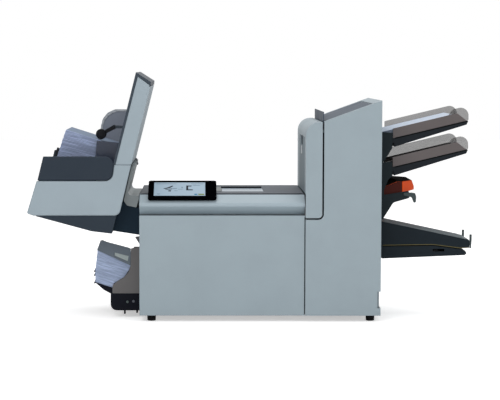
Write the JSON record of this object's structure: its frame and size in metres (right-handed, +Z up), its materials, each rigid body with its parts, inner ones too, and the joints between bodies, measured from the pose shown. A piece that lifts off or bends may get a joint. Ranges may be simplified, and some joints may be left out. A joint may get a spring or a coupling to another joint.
{
  "type": "folder-inserter",
  "caption": "Desktop folder-inserter: a folding tower with sheet trays on the right, an inserter with a touch console, a tilted envelope hopper and a stacker on the left.",
  "frame": {"origin": "on the table, under the middle of the machine's overall length and depth", "axes": "+X to the right along the front, +Y to the back, +Z up"},
  "size_m": [1.3628, 0.428, 0.753],
  "materials": {
    "casing_light": "satin",
    "deck_grey": "matte",
    "smoked_window": "gloss",
    "console_black": "satin",
    "screen_glass": "gloss",
    "inset_dark": "matte",
    "latch_grey": "satin",
    "lid_dark": "satin",
    "band_dark": "satin",
    "belly_dark": "matte",
    "back_dark": "satin",
    "bed_dark": "satin",
    "envelope_paper": "matte",
    "sheet_paper": "matte",
    "black_plastic": "satin",
    "chute_beige": "satin",
    "smoked_guide": "gloss",
    "lever_dark": "satin",
    "stacker_dark": "satin",
    "stacker_grey": "matte",
    "button_green": "gloss",
    "button_grey": "gloss",
    "tray_dark": "satin",
    "lower_tray_grey": "satin",
    "platform_orange": "satin",
    "frame_steel": "satin",
    "bearing_steel": "polished",
    "roller_rubber": "matte",
    "foot_rubber": "matte",
    "motor_black": "satin"
  },
  "bodies": {
    "machine": {"base_pan": "frame_steel", "chute_plate": "chute_beige", "drive_motor": "motor_black", "envelope_stack": "envelope_paper", "feeder_side_plates": "black_plastic", "feet": "foot_rubber", "fold_plates": "frame_steel", "hopper_back_plate": "back_dark", "hopper_back_shell": "casing_light", "hopper_band": "band_dark", "hopper_bed": "bed_dark", "hopper_belly": "belly_dark", "hopper_bridge": "black_plastic", "hopper_cover": "casing_light", "inserter_end_cover": "casing_light", "inserter_front_cover": "casing_light", "lower_tray": "lower_tray_grey", "power_inlet": "latch_grey", "rear_cover": "casing_light", "roller_bearings": "bearing_steel", "sheet_stack": "sheet_paper", "side_frames": "frame_steel", "stacked_envelopes": "envelope_paper", "stacker_base": "stacker_grey", "stacker_hood": "stacker_dark", "stacker_side_plates": "stacker_grey", "tower_end_cover": "casing_light", "tower_front_cover": "casing_light", "tray_1": "tray_dark", "tray_2": "tray_dark"},
    "top_cover": {"top_cover_nose": "casing_light", "deck_panel": "deck_grey", "deck_window": "smoked_window", "console_stand": "console_black"},
    "touch_console": {"console_housing": "console_black", "console_screen": "screen_glass"},
    "side_door": {"tower_side_door": "casing_light", "side_door_inset": "inset_dark"},
    "door_latch": {"door_latch": "latch_grey"},
    "roof_lid": {"tower_top_lid": "lid_dark"},
    "chute_knob": {"chute_knob": "latch_grey"},
    "hopper_front_guide": {"hopper_front_guide": "smoked_guide"},
    "hopper_rear_guide": {"hopper_rear_guide": "smoked_guide"},
    "press_lever": {"press_lever": "lever_dark"},
    "envelope_end_stop": {"envelope_end_stop": "black_plastic"},
    "start_button": {"start_button": "button_green"},
    "stop_button": {"stop_button": "button_grey"},
    "tray_1_feed_roller": {"tray_1_feed_roller": "roller_rubber"},
    "tray_2_feed_roller": {"tray_2_feed_roller": "roller_rubber"},
    "tray_1_front_guide": {"tray_1_front_guide": "smoked_guide"},
    "tray_1_rear_guide": {"tray_1_rear_guide": "smoked_guide"},
    "tray_2_front_guide": {"tray_2_front_guide": "smoked_guide"},
    "tray_2_rear_guide": {"tray_2_rear_guide": "smoked_guide"},
    "insert_platform": {"insert_platform": "platform_orange"},
    "insert_claw_lever": {"insert_claw_lever": "black_plastic"},
    "drop_tray": {"drop_tray": "tray_dark"},
    "tray_end_stops": {"tray_end_stops": "black_plastic"},
    "fold_roller_1": {"fold_roller_1": "roller_rubber"},
    "fold_roller_2": {"fold_roller_2": "roller_rubber"},
    "fold_roller_3": {"fold_roller_3": "roller_rubber"}
  },
  "joints": [
    {"name": "top_cover_hinge", "type": "hinge", "parent": "machine", "child": "top_cover", "pos_m": [0, 0.201, 0.374], "axis": [-1, 0, 0], "range_deg": [0, 28]},
    {"name": "console_tilt", "type": "hinge", "parent": "top_cover", "child": "touch_console", "pos_m": [-0.2325, -0.12012, 0.40025], "axis": [-1, 0, 0], "range_deg": [0, 24]},
    {"name": "side_door_hinge", "type": "hinge", "parent": "machine", "child": "side_door", "pos_m": [0.198, 0, 0.5965], "axis": [0, 1, 0], "range_deg": [0, 80]},
    {"name": "door_latch_slide", "type": "slide", "parent": "side_door", "child": "door_latch", "axis": [0, 0, 1], "range_m": [0, 0.008], "stiffness_N_per_m": 150, "springref_m": -0.003},
    {"name": "roof_lid_hinge", "type": "hinge", "parent": "machine", "child": "roof_lid", "pos_m": [0.358, 0, 0.6536], "axis": [0, 1, 0], "range_deg": [0, 95]},
    {"name": "chute_knob_hinge", "type": "hinge", "parent": "machine", "child": "chute_knob", "pos_m": [-0.355, -0.134, 0.481], "axis": [0, 1, 0], "range_deg": [0, 25]},
    {"name": "hopper_front_guide_slide", "type": "slide", "parent": "machine", "child": "hopper_front_guide", "axis": [0, -1, 0], "range_m": [0, 0.05]},
    {"name": "hopper_rear_guide_slide", "type": "slide", "parent": "machine", "child": "hopper_rear_guide", "axis": [0, 1, 0], "range_m": [0, 0.05]},
    {"name": "press_lever_hinge", "type": "hinge", "parent": "machine", "child": "press_lever", "pos_m": [-0.422, -0.084, 0.585], "axis": [0, 1, 0], "range_deg": [0, 80]},
    {"name": "envelope_end_stop_slide", "type": "slide", "parent": "machine", "child": "envelope_end_stop", "axis": [-0.9703, 0, 0.2419], "range_m": [0, 0.006]},
    {"name": "start_button_press", "type": "slide", "parent": "machine", "child": "start_button", "axis": [0, 1, 0], "range_m": [0, 0.002], "stiffness_N_per_m": 250, "springref_m": -0.001},
    {"name": "stop_button_press", "type": "slide", "parent": "machine", "child": "stop_button", "axis": [0, 1, 0], "range_m": [0, 0.002], "stiffness_N_per_m": 250, "springref_m": -0.001},
    {"name": "tray_1_feed_roller_spin", "type": "hinge", "parent": "machine", "child": "tray_1_feed_roller", "pos_m": [0.407, 0, 0.53776], "axis": [0, 1, 0], "continuous": true},
    {"name": "tray_2_feed_roller_spin", "type": "hinge", "parent": "machine", "child": "tray_2_feed_roller", "pos_m": [0.407, 0, 0.44976], "axis": [0, 1, 0], "continuous": true},
    {"name": "tray_1_front_guide_slide", "type": "slide", "parent": "machine", "child": "tray_1_front_guide", "axis": [0, 1, 0], "range_m": [0, 0.005]},
    {"name": "tray_1_rear_guide_slide", "type": "slide", "parent": "machine", "child": "tray_1_rear_guide", "axis": [0, -1, 0], "range_m": [0, 0.005]},
    {"name": "tray_2_front_guide_slide", "type": "slide", "parent": "machine", "child": "tray_2_front_guide", "axis": [0, 1, 0], "range_m": [0, 0.07]},
    {"name": "tray_2_rear_guide_slide", "type": "slide", "parent": "machine", "child": "tray_2_rear_guide", "axis": [0, -1, 0], "range_m": [0, 0.07]},
    {"name": "insert_platform_hinge", "type": "hinge", "parent": "machine", "child": "insert_platform", "pos_m": [0.3975, 0, 0.387], "axis": [0, -1, 0], "range_deg": [0, 18]},
    {"name": "insert_claw_hinge", "type": "hinge", "parent": "machine", "child": "insert_claw_lever", "pos_m": [0.47, -0.125, 0.38], "axis": [0, -1, 0], "range_deg": [0, 40]},
    {"name": "drop_tray_hinge", "type": "hinge", "parent": "machine", "child": "drop_tray", "pos_m": [0.4, 0, 0.205], "axis": [0, 1, 0], "range_deg": [0, 20]},
    {"name": "tray_end_stops_slide", "type": "slide", "parent": "machine", "child": "tray_end_stops", "axis": [1, 0, 0], "range_m": [0, 0.02]},
    {"name": "fold_roller_1_spin", "type": "hinge", "parent": "machine", "child": "fold_roller_1", "pos_m": [0.25, 0, 0.3], "axis": [0, 1, 0], "continuous": true},
    {"name": "fold_roller_2_spin", "type": "hinge", "parent": "machine", "child": "fold_roller_2", "pos_m": [0.285, 0, 0.3], "axis": [0, 1, 0], "continuous": true},
    {"name": "fold_roller_3_spin", "type": "hinge", "parent": "machine", "child": "fold_roller_3", "pos_m": [0.285, 0, 0.265], "axis": [0, 1, 0], "continuous": true}
  ],
  "couplings": [
    {"joint": "fold_roller_2_spin", "follows": "fold_roller_1_spin", "ratio": -1},
    {"joint": "fold_roller_3_spin", "follows": "fold_roller_1_spin", "ratio": 1},
    {"joint": "hopper_rear_guide_slide", "follows": "hopper_front_guide_slide", "ratio": 1},
    {"joint": "tray_1_rear_guide_slide", "follows": "tray_1_front_guide_slide", "ratio": 1},
    {"joint": "tray_2_rear_guide_slide", "follows": "tray_2_front_guide_slide", "ratio": 1}
  ]
}
